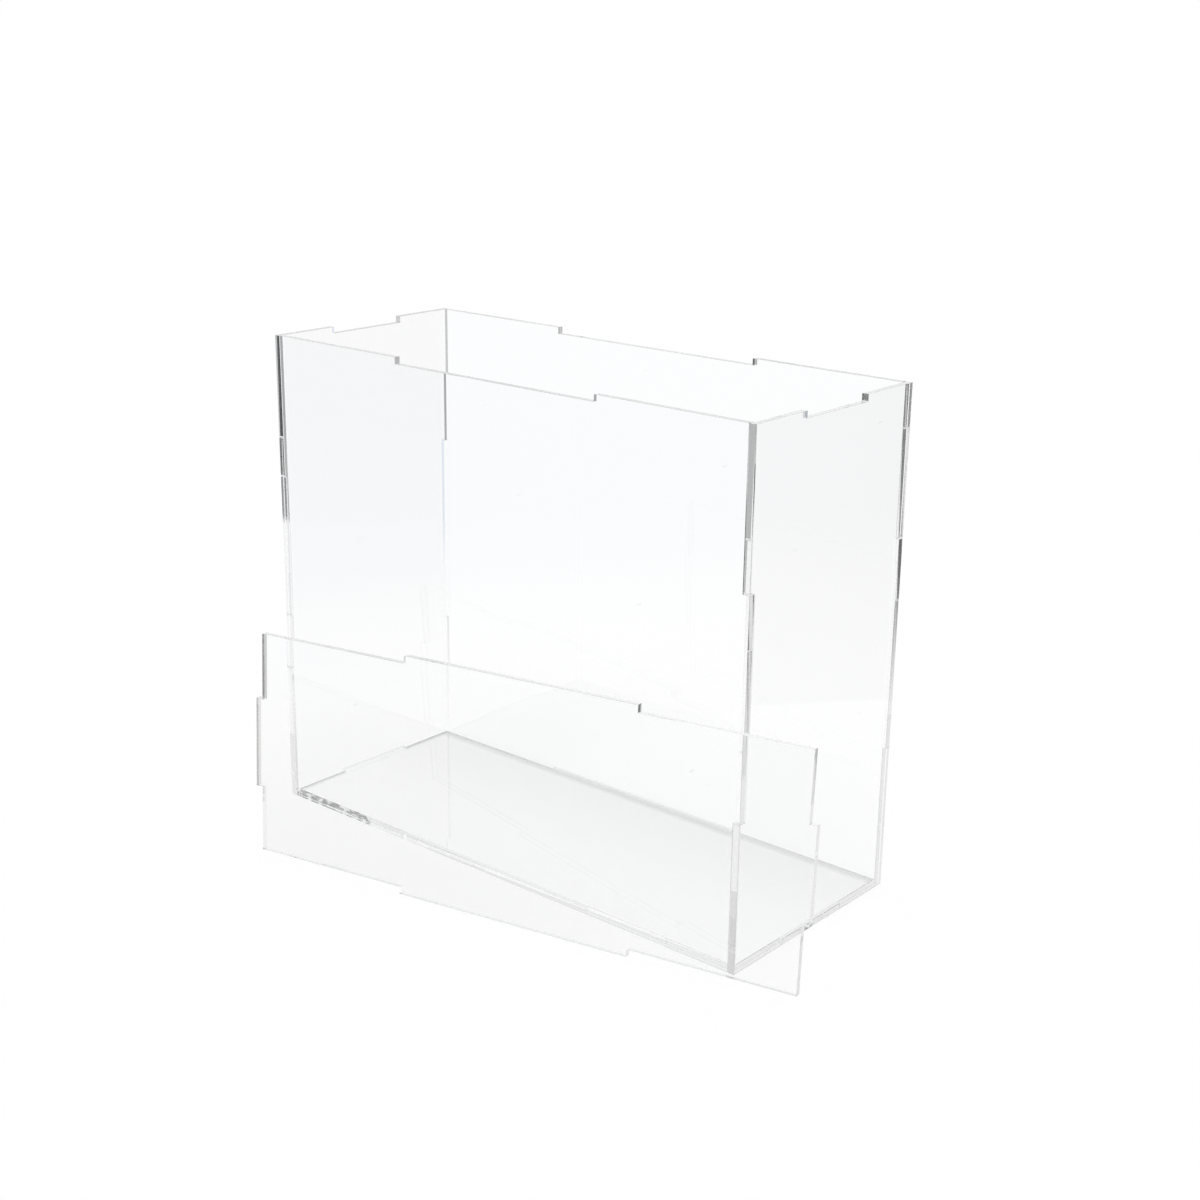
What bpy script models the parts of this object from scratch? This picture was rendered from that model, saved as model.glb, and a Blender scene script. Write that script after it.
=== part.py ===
"""Clear acrylic display case: five interlocking laser-cut panels and a loose lid that leans on its corner.

Metres, +Z up. The origin is the middle of the case's footprint, on the table. -Y is the front.
"""

import math

import bmesh
import bpy
from mathutils import Euler, Vector

# Outside of the case with its lid on
CASE_WIDTH = 0.268
CASE_DEPTH = 0.108
CASE_HEIGHT = 0.225

# Thickness of the sheet that every panel is cut from
SHEET = 0.003

# Length of the centre tabs that run along the width, the depth and the height
WIDTH_TAB = 0.112
DEPTH_TAB = 0.042
HEIGHT_TAB = 0.094

# Cement line between two panels that meet
CEMENT_GAP = 0.0003

# Play between the loose lid and the rim that it drops into, on each side
LID_PLAY = 0.0003

# How the lid stands in front of the case: turned, leaning back, and off to the right
LID_TURN = math.radians(11.6)
LID_LEAN = math.radians(3.6)
LID_SHIFT = 0.0366

# Space left between the lid and the corner that it leans on
LEAN_GAP = 0.0003

ACRYLIC_TINT = (0.93, 0.95, 0.95, 1.0)
ACRYLIC_ROUGHNESS = 0.04
ACRYLIC_IOR = 1.49

UPRIGHT = math.radians(90)
QUARTER_TURN = math.radians(90)


def clear_scene():
    for obj in list(bpy.data.objects):
        bpy.data.objects.remove(obj, do_unlink=True)


def clear_acrylic(name):
    """Cast acrylic sheet: clear, glossy and faintly cool."""
    material = bpy.data.materials.new(name)
    material.use_nodes = True
    shader = material.node_tree.nodes["Principled BSDF"]
    shader.inputs["Base Color"].default_value = ACRYLIC_TINT
    shader.inputs["Roughness"].default_value = ACRYLIC_ROUGHNESS
    shader.inputs["Metallic"].default_value = 0.0
    shader.inputs["IOR"].default_value = ACRYLIC_IOR
    shader.inputs["Transmission Weight"].default_value = 1.0
    return material


def edge_run(reach, middle_reach, middle_half, corner_from, corner_to):
    """One edge of a panel, as (distance along, distance out) points from one corner to the next.

    The edge lies at reach from the panel's centre, but at middle_reach along its centre tab or notch.
    """
    return [
        (corner_from, reach),
        (-middle_half, reach),
        (-middle_half, middle_reach),
        (middle_half, middle_reach),
        (middle_half, reach),
        (corner_to, reach),
    ]


def panel_outline(right, top, left, bottom):
    """The outline of a panel, anticlockwise. Each edge is (reach, middle reach, middle half length)."""
    outline = []
    for x, y in edge_run(*right, -bottom[0], top[0])[:-1]:
        outline.append((y, x))
    for x, y in edge_run(*top, -right[0], left[0])[:-1]:
        outline.append((-x, y))
    for x, y in edge_run(*left, -top[0], bottom[0])[:-1]:
        outline.append((-y, -x))
    for x, y in edge_run(*bottom, -left[0], right[0])[:-1]:
        outline.append((x, -y))
    return outline


def cut_panel(name, outline):
    """A panel cut from the sheet: its outline in local X and Y, its thickness from local Z = 0 to SHEET."""
    cut = bmesh.new()
    face = cut.faces.new([cut.verts.new((x, y, 0.0)) for x, y in outline])
    thick = bmesh.ops.extrude_face_region(cut, geom=[face])
    raised = [part for part in thick["geom"] if isinstance(part, bmesh.types.BMVert)]
    bmesh.ops.translate(cut, verts=raised, vec=(0.0, 0.0, SHEET))
    bmesh.ops.recalc_face_normals(cut, faces=cut.faces[:])
    mesh = bpy.data.meshes.new(name)
    cut.to_mesh(mesh)
    cut.free()
    panel = bpy.data.objects.new(name, mesh)
    mesh.materials.append(clear_acrylic(name + "_acrylic"))
    bpy.context.scene.collection.objects.link(panel)
    return panel


def place(panel, parent, location, rotation):
    panel.parent = parent
    panel.location = location
    panel.rotation_euler = rotation


def level_panel_outline(gap):
    """Floor or lid: a rectangle inside the walls, whose four centre tabs reach the walls' outer faces."""
    width_edge = (CASE_DEPTH / 2 - SHEET - gap, CASE_DEPTH / 2, WIDTH_TAB / 2 - gap)
    depth_edge = (CASE_WIDTH / 2 - SHEET - gap, CASE_WIDTH / 2, DEPTH_TAB / 2 - gap)
    return panel_outline(right=depth_edge, top=width_edge, left=depth_edge, bottom=width_edge)


def upright_edges(tab):
    """Top and bottom edges of a wall, measured from half the case's height, notched for the lid and the floor."""
    half_height = CASE_HEIGHT / 2
    rim = (half_height, half_height - SHEET, tab / 2)
    foot = (half_height, half_height - SHEET - CEMENT_GAP, tab / 2)
    return rim, foot


def long_wall_outline():
    """Front or back wall: centre tabs reach through the side walls, whose corners close over its ends."""
    rim, foot = upright_edges(WIDTH_TAB)
    side = (CASE_WIDTH / 2 - SHEET - CEMENT_GAP, CASE_WIDTH / 2, HEIGHT_TAB / 2 - CEMENT_GAP)
    return panel_outline(right=side, top=rim, left=side, bottom=foot)


def side_wall_outline():
    """Left or right wall: corners reach the full depth, and centre notches take the long walls' tabs."""
    rim, foot = upright_edges(DEPTH_TAB)
    side = (CASE_DEPTH / 2, CASE_DEPTH / 2 - SHEET - CEMENT_GAP, HEIGHT_TAB / 2)
    return panel_outline(right=side, top=rim, left=side, bottom=foot)


def add_floor(case):
    floor = cut_panel("floor_panel", level_panel_outline(CEMENT_GAP))
    place(floor, case, (0.0, 0.0, 0.0), (0.0, 0.0, 0.0))


def add_long_walls(case):
    """Upright across the width. Local Z, the thickness, points to the front."""
    outline = long_wall_outline()
    for name, inner_y in (("front_wall", SHEET - CASE_DEPTH / 2), ("back_wall", CASE_DEPTH / 2)):
        wall = cut_panel(name, outline)
        place(wall, case, (0.0, inner_y, CASE_HEIGHT / 2), (UPRIGHT, 0.0, 0.0))


def add_side_walls(case):
    """Upright across the depth. Local Z, the thickness, points to the right."""
    outline = side_wall_outline()
    for name, left_x in (("left_wall", -CASE_WIDTH / 2), ("right_wall", CASE_WIDTH / 2 - SHEET)):
        wall = cut_panel(name, outline)
        place(wall, case, (left_x, 0.0, CASE_HEIGHT / 2), (UPRIGHT, 0.0, QUARTER_TURN))


def lid_place():
    """Middle of the lid's back face: its lower tab stands on the table, its upper edge leans on the front corner."""
    back = Vector((-math.sin(LID_TURN), math.cos(LID_TURN)))
    corner = Vector((math.copysign(CASE_WIDTH / 2, LID_TURN), -CASE_DEPTH / 2))
    upper_edge = CASE_DEPTH / 2 - SHEET - LID_PLAY
    behind = corner.dot(back) - LEAN_GAP - upper_edge * math.sin(LID_LEAN)
    y = (behind - LID_SHIFT * back.x) / back.y
    return Vector((LID_SHIFT, y, CASE_DEPTH / 2 * math.cos(LID_LEAN)))


def add_lid():
    """The loose lid. Its empty stands where it touches the table, on the line that it is lifted along."""
    lean = Euler((UPRIGHT - LID_LEAN, 0.0, LID_TURN))
    middle = lid_place()
    foot = Vector((0.0, -CASE_DEPTH / 2, 0.0))
    stand = bpy.data.objects.new("lid_stand", None)
    bpy.context.scene.collection.objects.link(stand)
    stand.location = middle + lean.to_matrix() @ foot
    stand.rotation_euler = lean
    lid = cut_panel("lid_panel", level_panel_outline(LID_PLAY))
    place(lid, stand, -foot, (0.0, 0.0, 0.0))


def build():
    clear_scene()
    case = bpy.data.objects.new("display_case", None)
    bpy.context.scene.collection.objects.link(case)
    add_floor(case)
    add_long_walls(case)
    add_side_walls(case)
    add_lid()


build()
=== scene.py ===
"""Looks for the clear acrylic display case: six laser-cut sheet panels, a white table and soft studio light.

Metres, +Z up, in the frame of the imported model. The origin is the middle of the case's footprint.
"""

import math

import bmesh
import bpy
from mathutils import Matrix, Vector


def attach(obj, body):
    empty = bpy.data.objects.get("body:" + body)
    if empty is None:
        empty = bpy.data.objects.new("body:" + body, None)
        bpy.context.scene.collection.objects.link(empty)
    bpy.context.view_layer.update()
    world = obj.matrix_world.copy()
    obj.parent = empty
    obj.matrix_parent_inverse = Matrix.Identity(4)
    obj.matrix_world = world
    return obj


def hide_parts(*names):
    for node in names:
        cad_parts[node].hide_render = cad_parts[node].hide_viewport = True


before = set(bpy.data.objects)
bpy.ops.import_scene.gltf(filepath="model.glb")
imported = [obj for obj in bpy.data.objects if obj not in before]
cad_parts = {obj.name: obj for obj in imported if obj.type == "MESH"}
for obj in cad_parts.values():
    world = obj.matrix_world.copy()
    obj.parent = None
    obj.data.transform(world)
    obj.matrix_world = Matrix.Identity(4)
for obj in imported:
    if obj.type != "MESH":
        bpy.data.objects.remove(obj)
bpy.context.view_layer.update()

CASE_PANELS = ("floor_panel", "front_wall", "back_wall", "left_wall", "right_wall")
LID_PANEL = "lid_panel"

# Camera of the photograph
CAMERA_PLACE = (0.5214, -0.5986, 0.3727)
CAMERA_AZIMUTH = math.radians(40.24)
CAMERA_ELEVATION = math.radians(17.94)
CAMERA_ROLL = math.radians(0.735)
CAMERA_LENS = 55.99
CAMERA_SENSOR = 36.0
UPRIGHT = math.radians(90)

# Reading the CAD panels
MERGE_DISTANCE = 1e-6
FLAT_ANGLE = math.radians(0.5)
SHARP_ANGLE = math.radians(30)
ALIGNED = 0.99
SEEN_SIDE = Vector((0.5, -1.0, 1.0))

# Rounding that the laser leaves along the cut edges
EDGE_ROUND = 0.0001
EDGE_ROUND_STEPS = 2
EDGE_ROUND_PROFILE = 0.5

# Clear acrylic
ACRYLIC_IOR = 1.49
FACE_TINT = (0.997, 0.999, 0.998, 1.0)
EDGE_TINT = (0.97, 0.97, 0.97, 1.0)

# Faint haze where the faces were wiped
HAZE_SCALE = 30.0
HAZE_DETAIL = 5.0
HAZE_RANGE = (0.5, 0.8)
HAZE_ROUGHNESS = 0.02

# Specks of dust, in some of the cells of a pattern
DUST_TINT = (0.6, 0.6, 0.6, 1.0)
DUST_SCALE = 25.0
DUST_CHANCE = (0.75, 1.0)
DUST_SIZE = 0.007

# Marks of the laser on the cut edges, drawn out across the thickness
MARK_SCALE = 2200.0
MARK_DETAIL = 4.0
MARK_STRETCH = (1.0, 1.0, 0.02)
MARK_RANGE = (0.3, 0.7)
MARK_ROUGHNESS = 0.02
MARK_STRENGTH = 0.03
MARK_DEPTH = 0.0001

# Bubbles in the cement, drawn out along the joint, in which the floor's cut edge takes painted shade
BUBBLE_SCALE = 500.0
BUBBLE_DETAIL = 3.0
BUBBLE_STRETCH = (0.5, 1.0, 1.0)
BUBBLE_RANGE = (0.38, 0.52)

# Sizes of the case, as the panels have them
CASE_WIDTH = 0.268
CASE_DEPTH = 0.108
CASE_HEIGHT = 0.225
SHEET = 0.003
WIDTH_TAB = 0.112
DEPTH_TAB = 0.042
HEIGHT_TAB = 0.094

# Places on a panel, from its middle: its ends, the joints with its neighbours and the ends of its tabs
HALF_WIDTH = CASE_WIDTH / 2
HALF_DEPTH = CASE_DEPTH / 2
HALF_HEIGHT = CASE_HEIGHT / 2
SIDE_WALL_JOINT = HALF_WIDTH - SHEET
LONG_WALL_JOINT = HALF_DEPTH - SHEET
WIDTH_TAB_END = WIDTH_TAB / 2
DEPTH_TAB_END = DEPTH_TAB / 2
HEIGHT_TAB_END = HEIGHT_TAB / 2

# Widths of the spots of painted shade, and how far they reach past a joint, a tab's end or a rounding
NARROW_LINE = 0.001
LINE = 0.0012
WIDE_LINE = 0.0016
# Painted shade along the floor's back edge: how far it reaches inside the case and under the back wall
BACK_SHADE_INSIDE = 0.004
BACK_SHADE_UNDER_WALL = 0.001
TAB_PLAY = 0.0005
NOTCH_END_REACH = 0.0004
ROUNDING_PLAY = 2 * EDGE_ROUND
FRONT_EDGE_REACH = 0.002
FOOT = 0.025
BUBBLES_END = 0.08

# Stretches that the spots of painted shade cover along a panel's own X or Y, each from and to
WHOLE_WIDTH = (-HALF_WIDTH, HALF_WIDTH)
LEFT_LINE = (-SIDE_WALL_JOINT, LINE - SIDE_WALL_JOINT)
WIDE_LEFT_LINE = (-SIDE_WALL_JOINT, WIDE_LINE - SIDE_WALL_JOINT)
LEFT_TAB_LINE = (-HALF_WIDTH, LINE - HALF_WIDTH)
ALONG_BACK_WALL = (LONG_WALL_JOINT - BACK_SHADE_INSIDE, LONG_WALL_JOINT + BACK_SHADE_UNDER_WALL)
BEYOND_TAB = (DEPTH_TAB_END - TAB_PLAY, LONG_WALL_JOINT)
AT_TAB = (TAB_PLAY - DEPTH_TAB_END, DEPTH_TAB_END - TAB_PLAY)
BEFORE_TAB = (-LONG_WALL_JOINT, TAB_PLAY - DEPTH_TAB_END)
RIM_NOTCH = (HALF_HEIGHT - SHEET, HALF_HEIGHT)
RIM_NOTCH_END = (HALF_HEIGHT - SHEET + ROUNDING_PLAY, HALF_HEIGHT + ROUNDING_PLAY)
BEYOND_NOTCH = (WIDTH_TAB_END, WIDTH_TAB_END + LINE)
BEFORE_NOTCH = (-DEPTH_TAB_END - NARROW_LINE, -DEPTH_TAB_END)
FAR_NOTCH_END = (DEPTH_TAB_END - NOTCH_END_REACH, DEPTH_TAB_END + NOTCH_END_REACH)
FRONT_EDGE = (-HALF_DEPTH - FRONT_EDGE_REACH, FRONT_EDGE_REACH - HALF_DEPTH)
AT_FOOT = (-HALF_HEIGHT, FOOT - HALF_HEIGHT)
ABOVE_FOOT = (FOOT - HALF_HEIGHT, -HEIGHT_TAB_END)
BUBBLES_ALONG = (-HALF_WIDTH, -BUBBLES_END)
BUBBLES_ACROSS = (-HALF_DEPTH, SHEET - LONG_WALL_JOINT)

# Spots of painted shade on the faces and the cut edges: where along X and Y, and how much of the light is
# kept there
# Painted shade for the dark lines of light led through the sheets: floor edges, lid's left edge, rim notches,
# right wall's front edge
FACE_SHADE_SPOTS = {
    "floor_panel": (
        # Painted shade along the back wall
        (WHOLE_WIDTH, ALONG_BACK_WALL, 0.8),
        (LEFT_LINE, BEYOND_TAB, 0.45),
        (LEFT_LINE, BEFORE_TAB, 0.6),
    ),
    "back_wall": ((BEYOND_NOTCH, RIM_NOTCH, 0.2),),
    "right_wall": ((BEFORE_NOTCH, RIM_NOTCH, 0.3),),
    "lid_panel": (
        (WIDE_LEFT_LINE, BEYOND_TAB, 0.35),
        (LEFT_TAB_LINE, AT_TAB, 0.6),
        (LEFT_LINE, BEFORE_TAB, 0.85),
    ),
}
EDGE_SHADE_SPOTS = {
    "right_wall": (
        (FAR_NOTCH_END, RIM_NOTCH_END, 0.06),
        (FRONT_EDGE, AT_FOOT, 0.6),
        (FRONT_EDGE, ABOVE_FOOT, 0.75),
    ),
}
# Painted shade in a mottle like bubbles in the cement, along the floor's front left cut edge
BUBBLE_SHADE_SPOTS = {"floor_panel": ((BUBBLES_ALONG, BUBBLES_ACROSS, 0.08),)}

# Sockets of the Mix node that take and give colours
MIX_FIRST = 6
MIX_SECOND = 7
MIX_RESULT = 2

# Table and studio, in the right and ahead directions of the photograph
TABLE_DROP = 0.0002
FLOOR_REACH = 30.0
WHITE = (1.0, 1.0, 1.0, 1.0)
SHADOW_SHARE = 0.25
SHEET_SHADOW_SHARE = 0.12
TABLE_LEFT_FADE = (-0.52, -0.34)
TABLE_RIGHT = (0.352, 0.362)
LEFT_TO_RIGHT = (-0.2, 0.2)
RIGHT_NEAR_TO_FAR = (0.34, 0.75)
SIDES_TO_BACK = (0.5, 0.8)
LEFT_STUDIO = (0.77, 0.826, 0.907, 1.0)
RIGHT_STUDIO_NEAR = (0.78, 0.78, 0.78, 1.0)
RIGHT_STUDIO_FAR = (0.55, 0.55, 0.55, 1.0)
BACK_STUDIO = (0.85, 0.85, 0.85, 1.0)

# Light Path depths above which light was reflected, was guided along a sheet, or crossed several panels
BOUNCED = 0.5
GUIDED = 2.5
CROSSED = 4.5

# How much is kept of mirrored light that crossed several panels, less from left to right
CROSSED_FADE = (-0.1, 0.35)
CROSSED_KEPT = 0.55

# The table and studio as guided light shows them, darker after more reflections in the sheet
GUIDED_LEFT_FADE = (-0.34, 0.0)
GUIDED_LOSS = (16.0, 21.0)
GUIDED_LEFT_LOSS = (20.0, 40.0)
GUIDED_DARK = (0.04, 0.04, 0.04, 1.0)
GUIDED_GREY = (0.48, 0.48, 0.48, 1.0)
GUIDED_SKY = (0.8, 0.8, 0.8, 1.0)

# Shading of the table around the case
SHADE = 0.09
SHADE_CENTRE = (-0.13, -0.09, 0.0)
SHADE_REACH = 0.4

# Shading under the case, seen through a sheet and mirrored: the axis along which it grows, from, to and loss
CASE_SHADE = ("Y", -0.03, 0.06, 0.1)
MIRRORED_CASE_SHADE = ("X", -0.02, -0.1, 0.3)

# Bounces that light may take inside a sheet before it leaves, and clear surfaces that it may pass
SHEET_BOUNCES = 160
CLEAR_BOUNCES = 64


class Nodes:
    """A material's or world's node tree, with its nodes made and linked by name."""

    def __init__(self, owner):
        owner.use_nodes = True
        self.tree = owner.node_tree
        self.tree.nodes.clear()

    def add(self, kind, settings=None, **inputs):
        """A node of that kind. An input is a value, or the output socket that feeds it."""
        node = self.tree.nodes.new(kind)
        for name, value in (settings or {}).items():
            setattr(node, name, value)
        for name, value in inputs.items():
            self.feed(node.inputs[name.replace("_", " ")], value)
        return node

    def feed(self, socket, value):
        if isinstance(value, bpy.types.NodeSocket):
            self.tree.links.new(value, socket)
        else:
            socket.default_value = value

    def maths(self, operation, first, second):
        node = self.add("ShaderNodeMath", {"operation": operation})
        self.feed(node.inputs[0], first)
        self.feed(node.inputs[1], second)
        return node.outputs[0]

    def rise(self, value, start, end, low=0.0, high=1.0):
        """Goes smoothly from low to high as value goes from start to end."""
        node = self.add("ShaderNodeMapRange", {"interpolation_type": "SMOOTHSTEP"}, Value=value)
        for name, number in (("From Min", start), ("From Max", end), ("To Min", low), ("To Max", high)):
            node.inputs[name].default_value = number
        return node.outputs[0]

    def above(self, value, limit):
        """1 where value is above the limit, and 0 elsewhere."""
        return self.maths("GREATER_THAN", value, limit)

    def between(self, value, low, high):
        """1 where value lies between low and high, and 0 elsewhere."""
        return self.maths("MULTIPLY", self.above(value, low), self.maths("LESS_THAN", value, high))

    def inside(self, parts, along_x, along_y):
        """1 in the rectangle that covers those stretches along X and along Y, and 0 elsewhere."""
        return self.maths("MULTIPLY", self.between(parts["X"], *along_x), self.between(parts["Y"], *along_y))

    def mix(self, share, first, second, blend="MIX"):
        """A colour between first, at share 0, and second, or first times second, at share 1."""
        node = self.add("ShaderNodeMix", {"data_type": "RGBA", "blend_type": blend})
        self.feed(node.inputs["Factor"], share)
        self.feed(node.inputs[MIX_FIRST], first)
        self.feed(node.inputs[MIX_SECOND], second)
        return node.outputs[MIX_RESULT]

    def grey(self, level):
        return self.add("ShaderNodeCombineColor", Red=level, Green=level, Blue=level).outputs[0]

    def place(self, turn=(0.0, 0.0, 0.0), scale=(1.0, 1.0, 1.0), source="Object"):
        point = self.add("ShaderNodeTexCoord").outputs[source]
        return self.add("ShaderNodeMapping", Vector=point, Rotation=turn, Scale=scale).outputs[0]

    def parts(self, place):
        """The X, Y and Z of a place."""
        return self.add("ShaderNodeSeparateXYZ", Vector=place).outputs

    def noise(self, place, scale, detail):
        return self.add("ShaderNodeTexNoise", Vector=place, Scale=scale, Detail=detail).outputs["Fac"]

    def acrylic(self, tint, **inputs):
        shader = self.add("ShaderNodeBsdfPrincipled", **inputs)
        self.feed(shader.inputs["Base Color"], tint)
        shader.inputs["IOR"].default_value = ACRYLIC_IOR
        shader.inputs["Transmission Weight"].default_value = 1.0
        self.add("ShaderNodeOutputMaterial", Surface=shader.outputs[0])


def shade_spotted(nodes, place, tint, spots):
    """The tint, darker in each of the spots, as painted shade."""
    parts = nodes.parts(place)
    for along_x, along_y, kept in spots:
        tint = nodes.mix(nodes.inside(parts, along_x, along_y), tint, (kept, kept, kept, 1.0))
    return tint


def bubbly_shade(nodes, place, tint, spots):
    """The tint, with painted shade in each of the spots where bubbles in the cement lie along the joint."""
    drawn_out = nodes.place(scale=BUBBLE_STRETCH)
    bubbles = nodes.rise(nodes.noise(drawn_out, BUBBLE_SCALE, BUBBLE_DETAIL), *BUBBLE_RANGE)
    return nodes.mix(bubbles, tint, shade_spotted(nodes, place, tint, spots))


def dusty(nodes, place, tint):
    """The tint, with a speck of dust in some of the cells of a pattern."""
    cells = nodes.add("ShaderNodeTexVoronoi", {"voronoi_dimensions": "2D"}, Vector=place, Scale=DUST_SCALE)
    chance = nodes.add("ShaderNodeSeparateColor", Color=cells.outputs["Color"]).outputs[0]
    size = nodes.rise(chance, *DUST_CHANCE, 0.0, DUST_SIZE)
    return nodes.mix(nodes.maths("LESS_THAN", cells.outputs["Distance"], size), tint, DUST_TINT)


def sheet_face_material(name):
    """The polished faces of cast sheet: a faint haze where wiped, specks of dust and spots of painted shade.
    """
    material = bpy.data.materials.new(name + "_face")
    nodes = Nodes(material)
    place = nodes.place()
    haze = nodes.rise(nodes.noise(place, HAZE_SCALE, HAZE_DETAIL), *HAZE_RANGE, 0.0, HAZE_ROUGHNESS)
    tint = shade_spotted(nodes, place, FACE_TINT, FACE_SHADE_SPOTS.get(name, ()))
    nodes.acrylic(dusty(nodes, place, tint), Roughness=haze)
    return material


def cut_edge_material(name):
    """The laser-cut edges: clear, with fine marks across the thickness and spots of painted shade."""
    material = bpy.data.materials.new(name + "_cut_edge")
    nodes = Nodes(material)
    place = nodes.place()
    marks = nodes.noise(nodes.place(scale=MARK_STRETCH), MARK_SCALE, MARK_DETAIL)
    relief = nodes.add("ShaderNodeBump", Height=marks, Strength=MARK_STRENGTH, Distance=MARK_DEPTH).outputs[0]
    tint = shade_spotted(nodes, place, EDGE_TINT, EDGE_SHADE_SPOTS.get(name, ()))
    if name in BUBBLE_SHADE_SPOTS:
        tint = bubbly_shade(nodes, place, tint, BUBBLE_SHADE_SPOTS[name])
    nodes.acrylic(tint, Roughness=nodes.rise(marks, *MARK_RANGE, 0.0, MARK_ROUGHNESS), Normal=relief)
    return material


class Panel:
    """A CAD panel as it is cut: its mesh in the shared frame and the direction of its thickness."""

    def __init__(self, name):
        self.cut = bmesh.new()
        self.cut.from_mesh(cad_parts[name].data)
        bmesh.ops.remove_doubles(self.cut, verts=self.cut.verts[:], dist=MERGE_DISTANCE)
        bmesh.ops.dissolve_limit(
            self.cut, angle_limit=FLAT_ANGLE, verts=self.cut.verts[:], edges=self.cut.edges[:]
        )
        self.cut.normal_update()
        widest = max(self.cut.faces, key=lambda face: face.calc_area())
        self.thickness = widest.normal * math.copysign(1.0, widest.normal.dot(SEEN_SIDE))
        self.corners = [vert.co.copy() for vert in self.cut.verts]

    def is_wide(self, normal):
        """True for the two polished faces, false for the cut edges."""
        return abs(normal.dot(self.thickness)) > ALIGNED

    def lies_flat(self):
        return abs(self.thickness.z) > ALIGNED


def round_edges(panel):
    """Marks the polished faces 0 and the cut edges 1, and rounds the sharp edges between them."""
    sharp = [edge for edge in panel.cut.edges if edge.calc_face_angle(0.0) > SHARP_ANGLE]
    bmesh.ops.bevel(
        panel.cut,
        geom=sharp,
        offset=EDGE_ROUND,
        segments=EDGE_ROUND_STEPS,
        profile=EDGE_ROUND_PROFILE,
        affect="EDGES",
    )
    for face in panel.cut.faces:
        face.material_index = 0 if panel.is_wide(face.normal) else 1


def local_frame(panel):
    """The panel's own place: its middle, with Z along its thickness and X level."""
    across = Vector((1.0, 0.0, 0.0))
    if not panel.lies_flat():
        across = Vector((0.0, 0.0, 1.0)).cross(panel.thickness).normalized()
    place = Matrix((across, panel.thickness.cross(across), panel.thickness)).transposed().to_4x4()
    place.translation = sum(panel.corners, Vector()) / len(panel.corners)
    return place


def add_sheet(name, body):
    panel = Panel(name)
    round_edges(panel)
    place = local_frame(panel)
    panel.cut.transform(place.inverted())
    mesh = bpy.data.meshes.new(name + "_sheet")
    panel.cut.to_mesh(mesh)
    mesh.materials.append(sheet_face_material(name))
    mesh.materials.append(cut_edge_material(name))
    sheet = bpy.data.objects.new(name + "_sheet", mesh)
    bpy.context.scene.collection.objects.link(sheet)
    sheet.matrix_world = place
    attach(sheet, body)
    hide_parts(name)


def add_panels():
    for name in CASE_PANELS:
        add_sheet(name, "case")
    add_sheet(LID_PANEL, "lid")


def side_studio(nodes, right):
    """The studio's sides as the sheets mirror them: pale and cool on the left, darker on the right."""
    right_side = nodes.mix(nodes.rise(right, *RIGHT_NEAR_TO_FAR), RIGHT_STUDIO_NEAR, RIGHT_STUDIO_FAR)
    return nodes.mix(nodes.rise(right, *LEFT_TO_RIGHT), LEFT_STUDIO, right_side)


def around_case(nodes, place):
    """1 far from the case, and less near it."""
    offset = nodes.add("ShaderNodeVectorMath", {"operation": "DISTANCE"})
    nodes.feed(offset.inputs[0], place)
    nodes.feed(offset.inputs[1], SHADE_CENTRE)
    return nodes.rise(offset.outputs["Value"], 0.0, SHADE_REACH, 1.0 - SHADE, 1.0)


def under_case(nodes, direction, start, end, loss):
    """1 around the case. Under it, less by the loss as the case's own X or Y goes from start to end."""
    parts = nodes.parts(nodes.place(turn=(0.0, 0.0, CAMERA_AZIMUTH)))
    inside = nodes.inside(parts, (-HALF_WIDTH, HALF_WIDTH), (-HALF_DEPTH, HALF_DEPTH))
    lost = nodes.rise(parts[direction], start, end, 0.0, loss)
    return nodes.maths("SUBTRACT", 1.0, nodes.maths("MULTIPLY", inside, lost))


def mirrored_table(nodes, path, right):
    """The table and studio as the sheets mirror them, darker on the right after several sheets."""
    table = nodes.maths(
        "MULTIPLY", nodes.rise(right, *TABLE_LEFT_FADE), nodes.rise(right, *TABLE_RIGHT, 1.0, 0.0)
    )
    floor = nodes.grey(under_case(nodes, *MIRRORED_CASE_SHADE))
    mirrored = nodes.mix(table, side_studio(nodes, right), floor)
    crossed = nodes.above(path.outputs["Ray Depth"], CROSSED)
    darker = nodes.grey(nodes.rise(right, *CROSSED_FADE, 1.0, CROSSED_KEPT))
    return nodes.mix(crossed, mirrored, darker, "MULTIPLY")


def guided_table(nodes, path, right):
    """The table and the studio beside it through the cut edges: grey at both sides, dark after a long way."""
    depth = path.outputs["Glossy Depth"]
    left = nodes.mix(nodes.rise(depth, *GUIDED_LEFT_LOSS), GUIDED_GREY, GUIDED_DARK)
    table = nodes.mix(nodes.rise(right, *GUIDED_LEFT_FADE), left, WHITE)
    beyond = nodes.mix(nodes.rise(depth, *GUIDED_LOSS), GUIDED_GREY, GUIDED_DARK)
    return nodes.mix(nodes.rise(right, *TABLE_RIGHT), table, beyond)


def table_colour(nodes, path):
    """White as seen directly, a little shaded through the sheets, and joined by the studio in reflections."""
    place = nodes.place()
    right = nodes.parts(place)["X"]
    shaded = nodes.maths("MULTIPLY", around_case(nodes, place), under_case(nodes, *CASE_SHADE))
    straight = nodes.mix(path.outputs["Is Camera Ray"], nodes.grey(shaded), WHITE)
    guided = nodes.above(path.outputs["Glossy Depth"], GUIDED)
    mirrored = nodes.mix(guided, mirrored_table(nodes, path, right), guided_table(nodes, path, right))
    return nodes.mix(nodes.above(path.outputs["Glossy Depth"], BOUNCED), straight, mirrored)


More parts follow.
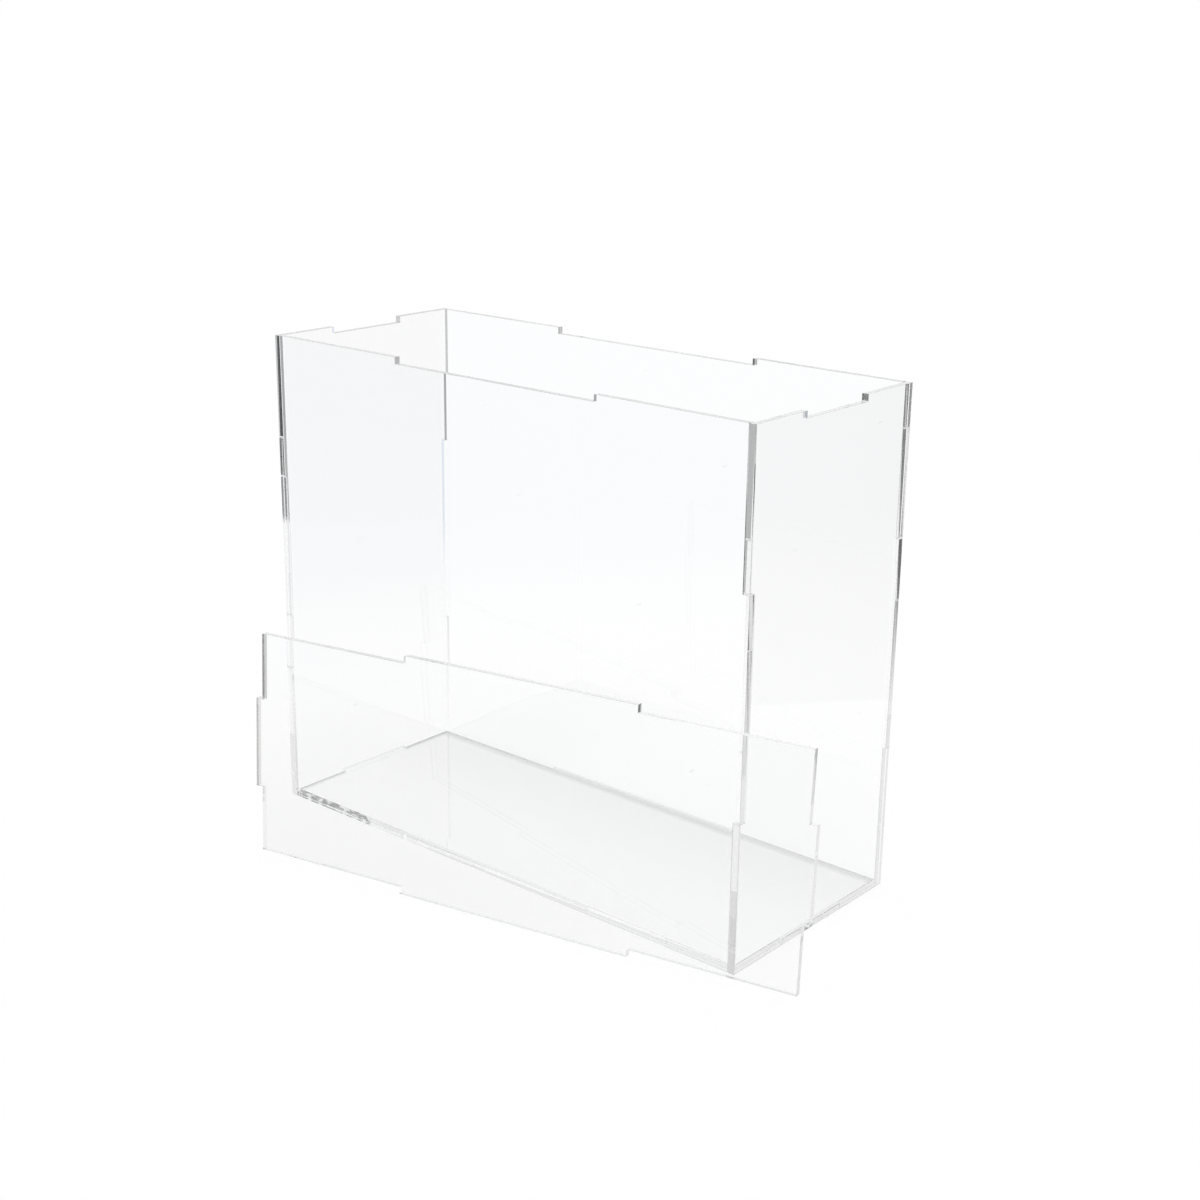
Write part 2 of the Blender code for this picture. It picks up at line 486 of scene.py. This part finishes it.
def floor_material():
    """Glows softly in the table's colour and takes a light shadow, lighter still behind the sheets."""
    material = bpy.data.materials.new("table_white")
    nodes = Nodes(material)
    path = nodes.add("ShaderNodeLightPath")
    seen = table_colour(nodes, path)
    lit = nodes.add("ShaderNodeBsdfDiffuse", Color=seen)
    glow = nodes.add("ShaderNodeEmission", Color=seen)
    share = nodes.rise(path.outputs["Is Camera Ray"], 0.0, 1.0, SHEET_SHADOW_SHARE, SHADOW_SHARE)
    both = nodes.add("ShaderNodeMixShader", Fac=share)
    nodes.feed(both.inputs[1], glow.outputs[0])
    nodes.feed(both.inputs[2], lit.outputs[0])
    nodes.add("ShaderNodeOutputMaterial", Surface=both.outputs[0])
    return material


def add_floor():
    mesh = bpy.data.meshes.new("studio_floor")
    corners = [(x * FLOOR_REACH, y * FLOOR_REACH, 0.0) for x, y in ((-1, -1), (1, -1), (1, 1), (-1, 1))]
    mesh.from_pydata(corners, [], [range(len(corners))])
    mesh.materials.append(floor_material())
    floor = bpy.data.objects.new("studio_floor", mesh)
    bpy.context.scene.collection.objects.link(floor)
    floor.location = (0.0, 0.0, -TABLE_DROP)
    floor.rotation_euler = (0.0, 0.0, CAMERA_AZIMUTH)


def add_world():
    """Soft white light from all around. The sheets mirror a studio that is darker at the sides and behind."""
    world = bpy.data.worlds.new("studio")
    bpy.context.scene.world = world
    nodes = Nodes(world)
    path = nodes.add("ShaderNodeLightPath")
    parts = nodes.parts(nodes.place(turn=(0.0, 0.0, -CAMERA_AZIMUTH), source="Generated"))
    studio = nodes.mix(nodes.rise(parts["Y"], *SIDES_TO_BACK), side_studio(nodes, parts["X"]), BACK_STUDIO)
    mirrored = nodes.mix(nodes.above(path.outputs["Glossy Depth"], GUIDED), studio, GUIDED_SKY)
    glossy = nodes.above(path.outputs["Glossy Depth"], BOUNCED)
    scattered = nodes.above(path.outputs["Diffuse Depth"], BOUNCED)
    colour = nodes.mix(nodes.maths("SUBTRACT", glossy, scattered), WHITE, mirrored)
    background = nodes.add("ShaderNodeBackground", Color=colour)
    nodes.add("ShaderNodeOutputWorld", Surface=background.outputs[0])


def add_camera():
    data = bpy.data.cameras.new("photo_camera")
    data.lens = CAMERA_LENS
    data.sensor_width = CAMERA_SENSOR
    camera = bpy.data.objects.new("photo_camera", data)
    bpy.context.scene.collection.objects.link(camera)
    turn = Matrix.Rotation(CAMERA_AZIMUTH, 4, "Z")
    tilt = Matrix.Rotation(UPRIGHT - CAMERA_ELEVATION, 4, "X")
    roll = Matrix.Rotation(CAMERA_ROLL, 4, "Z")
    camera.matrix_world = Matrix.Translation(CAMERA_PLACE) @ turn @ tilt @ roll
    bpy.context.scene.camera = camera


def set_light_paths():
    """Light that enters a cut edge is guided through the sheet by many reflections before it leaves."""
    scene = bpy.context.scene
    scene.view_settings.view_transform = "Standard"
    scene.cycles.blur_glossy = 0.0
    scene.cycles.max_bounces = SHEET_BOUNCES
    scene.cycles.transmission_bounces = SHEET_BOUNCES
    scene.cycles.glossy_bounces = SHEET_BOUNCES
    scene.cycles.transparent_max_bounces = CLEAR_BOUNCES


add_panels()
add_floor()
add_world()
add_camera()
set_light_paths()
